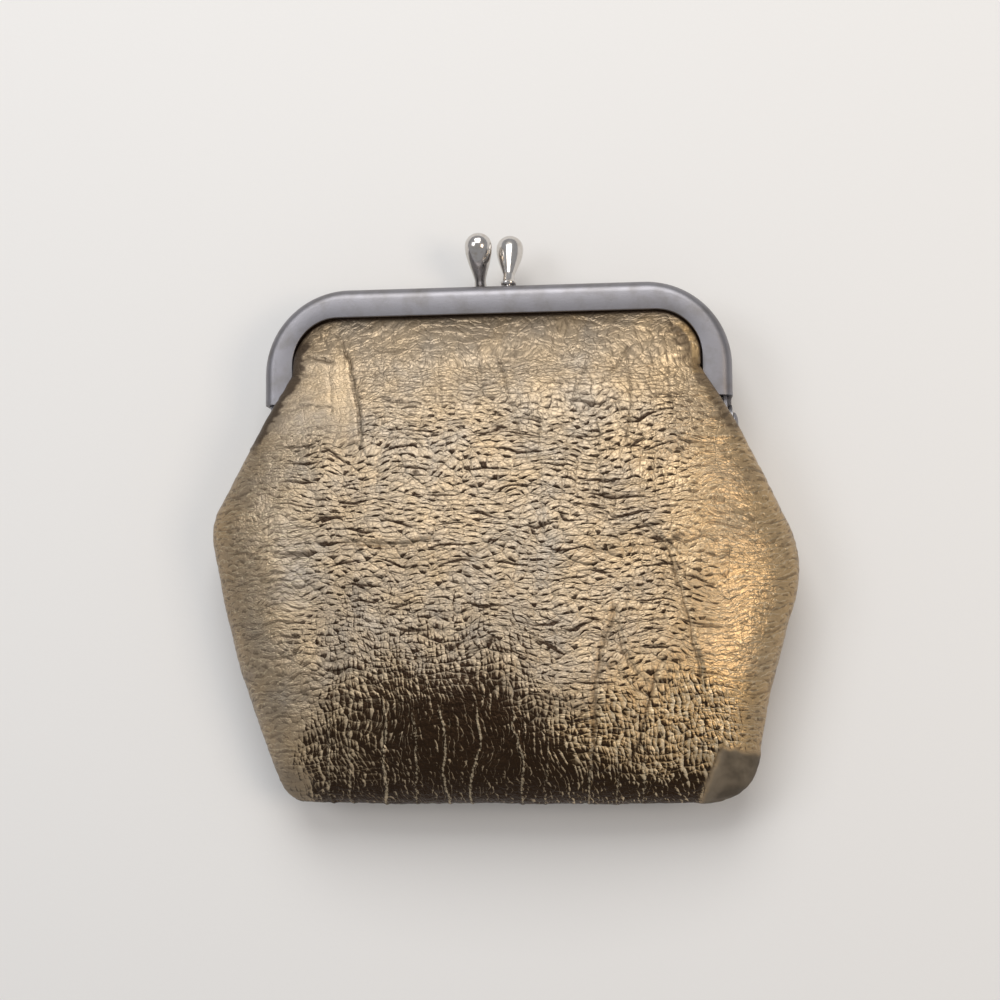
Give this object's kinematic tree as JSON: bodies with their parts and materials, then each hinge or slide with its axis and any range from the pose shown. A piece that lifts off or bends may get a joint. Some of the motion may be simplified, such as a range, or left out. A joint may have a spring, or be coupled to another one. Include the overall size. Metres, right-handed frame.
{
  "type": "kiss-lock coin purse",
  "caption": "Kiss-lock coin purse: a U-shaped channel frame hinged at its legs and shut by crossing teardrop knobs, holding a puffed metallic leather bag with a cloth lining.",
  "frame": {"origin": "on the resting face of the rear leather, under the middle of the whole purse", "axes": "+X along the frame, +Y from the bag towards the clasp knobs, +Z from the rear panel to the front panel, which faces up"},
  "size_m": [0.1028, 0.1002, 0.022],
  "materials": {
    "frame_metal": "satin nickel plate with fine scratches",
    "knob_metal": "polished nickel plate",
    "leather": "crumpled metallic gold foil on soft leather, rubbed at the corners",
    "lining": "plain woven camel cloth",
    "paper_cord": "twisted paper",
    "thread": "sewing thread"
  },
  "bodies": {
    "purse_body": {"rear_frame": "frame_metal", "rear_knob": "knob_metal", "left_hinge_rivet": "frame_metal", "right_hinge_rivet": "frame_metal", "rear_leather": "leather", "rear_lining": "lining", "front_leather_fold": "leather", "front_leather_lower": "leather", "front_lining_fold": "lining", "front_lining_lower": "lining", "rear_retaining_cord": "paper_cord", "seam_thread": "thread", "lining_seam_thread": "thread"},
    "front_frame_half": {"front_frame": "frame_metal", "front_knob": "knob_metal", "front_leather_upper": "leather", "front_lining_upper": "lining", "front_retaining_cord": "paper_cord"}
  },
  "joints": [
    {"name": "frame_hinge", "type": "hinge", "parent": "purse_body", "child": "front_frame_half", "pos_m": [-0.00049, 0.01529, 0.0093], "axis": [1, 0, 0], "range_deg": [0, 90], "deforming": ["front_leather_fold", "front_lining_fold"]}
  ]
}
